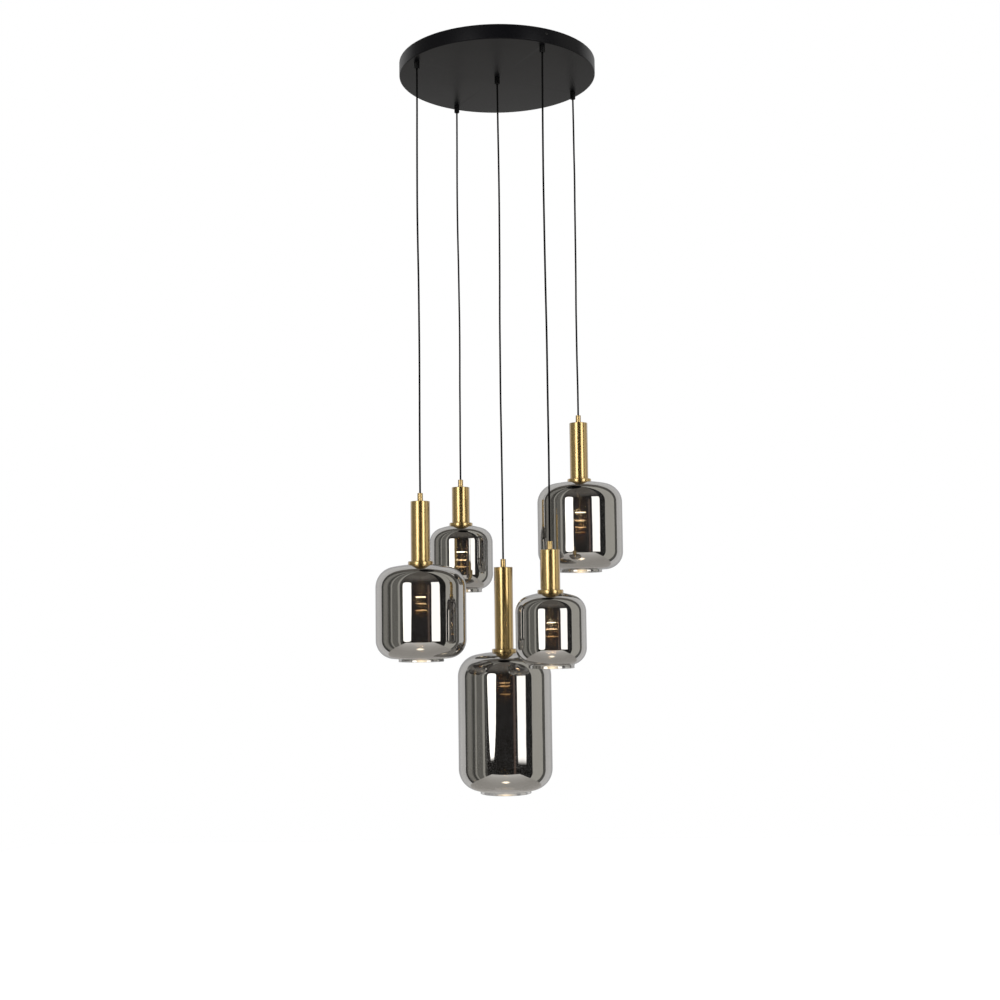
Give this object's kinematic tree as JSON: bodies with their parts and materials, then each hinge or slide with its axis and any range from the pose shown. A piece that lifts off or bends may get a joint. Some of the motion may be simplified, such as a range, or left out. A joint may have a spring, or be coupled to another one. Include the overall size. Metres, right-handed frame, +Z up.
{
  "type": "cluster pendant light",
  "caption": "Cluster pendant light: round black canopy, cords at stepped heights, brass sleeves and smoked mirror-glass shades with open feet.",
  "frame": {"origin": "centre of the canopy's back plane, on the ceiling", "axes": "+Z up towards the ceiling; +X towards the right-hand cord, +Y towards the back cord"},
  "size_m": [0.673, 0.621, 1.843],
  "materials": {
    "canopy_powder_coat": "fine satin-matt black powder coat",
    "zinc_steel": "zinc-plated, satin",
    "black_steel": "blackened, satin",
    "box_plastic": "moulded, matt off-white",
    "terminal_plastic": "moulded, matt natural",
    "cord_black": "matt black round flex",
    "grip_black": "moulded, satin black",
    "brass": "satin, brushed round the axis, lacquered",
    "holder_black": "moulded, satin black",
    "smoked_glass": "blown, smoke grey, thinly metallised, polished",
    "lamp_glass": "clear, faintly amber",
    "cap_nickel": "nickel-plated, satin",
    "filament": "glowing filament"
  },
  "bodies": {
    "canopy": {"canopy_pan": "canopy_powder_coat", "ceiling_bracket": "zinc_steel", "rim_screws": "black_steel", "junction_box": "box_plastic", "junction_lid": "box_plastic", "junction_screws": "zinc_steel", "terminal_block": "terminal_plastic", "cord_tails": "cord_black", "ceiling_grips": "grip_black", "grip_nuts": "zinc_steel"},
    "drop_left": {"cord_left": "cord_black"},
    "pendant_left": {"cord_grip_left": "brass", "stem_left": "zinc_steel", "sleeve_left": "brass", "collar_left": "brass", "lampholder_left": "holder_black", "shade_ring_left": "holder_black", "shade_left": "smoked_glass", "lamp_left": "lamp_glass", "lamp_cap_left": "cap_nickel"},
    "drop_back": {"cord_back": "cord_black"},
    "pendant_back": {"cord_grip_back": "brass", "stem_back": "zinc_steel", "sleeve_back": "brass", "collar_back": "brass", "lampholder_back": "holder_black", "shade_ring_back": "holder_black", "shade_back": "smoked_glass", "lamp_back": "lamp_glass", "lamp_cap_back": "cap_nickel"},
    "drop_centre": {"cord_centre": "cord_black"},
    "pendant_centre": {"cord_grip_centre": "brass", "stem_centre": "zinc_steel", "sleeve_centre": "brass", "collar_centre": "brass", "lampholder_centre": "holder_black", "shade_ring_centre": "holder_black", "shade_centre": "smoked_glass", "lamp_centre": "lamp_glass", "lamp_cap_centre": "cap_nickel"},
    "drop_front": {"cord_front": "cord_black"},
    "pendant_front": {"cord_grip_front": "brass", "stem_front": "zinc_steel", "sleeve_front": "brass", "collar_front": "brass", "lampholder_front": "holder_black", "shade_ring_front": "holder_black", "shade_front": "smoked_glass", "lamp_front": "lamp_glass", "lamp_cap_front": "cap_nickel"},
    "drop_right": {"cord_right": "cord_black"},
    "pendant_right": {"cord_grip_right": "brass", "stem_right": "zinc_steel", "sleeve_right": "brass", "collar_right": "brass", "lampholder_right": "holder_black", "shade_ring_right": "holder_black", "shade_right": "smoked_glass", "lamp_right": "lamp_glass", "lamp_cap_right": "cap_nickel"}
  },
  "joints": [
    {"name": "swing_left", "type": "hinge", "parent": "canopy", "child": "drop_left", "pos_m": [-0.2275, 0, -0.047], "axis": [1, 0, 0], "range_deg": [-3.5, 3.5]},
    {"name": "height_left", "type": "slide", "parent": "drop_left", "child": "pendant_left", "axis": [0, 0, 1], "range_m": [0, 0.25], "deforming": ["cord_left"]},
    {"name": "swing_back", "type": "hinge", "parent": "canopy", "child": "drop_back", "pos_m": [0, 0.2275, -0.047], "axis": [0, 1, 0], "range_deg": [-3.5, 3.5]},
    {"name": "height_back", "type": "slide", "parent": "drop_back", "child": "pendant_back", "axis": [0, 0, 1], "range_m": [0, 0.25], "deforming": ["cord_back"]},
    {"name": "swing_centre", "type": "hinge", "parent": "canopy", "child": "drop_centre", "pos_m": [0, 0, -0.047], "axis": [0.7071, 0.7071, 0], "range_deg": [-2.5, 2.5]},
    {"name": "height_centre", "type": "slide", "parent": "drop_centre", "child": "pendant_centre", "axis": [0, 0, 1], "range_m": [-0.25, 0], "deforming": ["cord_centre"]},
    {"name": "swing_front", "type": "hinge", "parent": "canopy", "child": "drop_front", "pos_m": [0, -0.2275, -0.047], "axis": [0, 1, 0], "range_deg": [-3.5, 3.5]},
    {"name": "height_front", "type": "slide", "parent": "drop_front", "child": "pendant_front", "axis": [0, 0, 1], "range_m": [0, 0.25], "deforming": ["cord_front"]},
    {"name": "swing_right", "type": "hinge", "parent": "canopy", "child": "drop_right", "pos_m": [0.2275, 0, -0.047], "axis": [1, 0, 0], "range_deg": [-3.5, 3.5]},
    {"name": "height_right", "type": "slide", "parent": "drop_right", "child": "pendant_right", "axis": [0, 0, 1], "range_m": [0, 0.25], "deforming": ["cord_right"]}
  ]
}
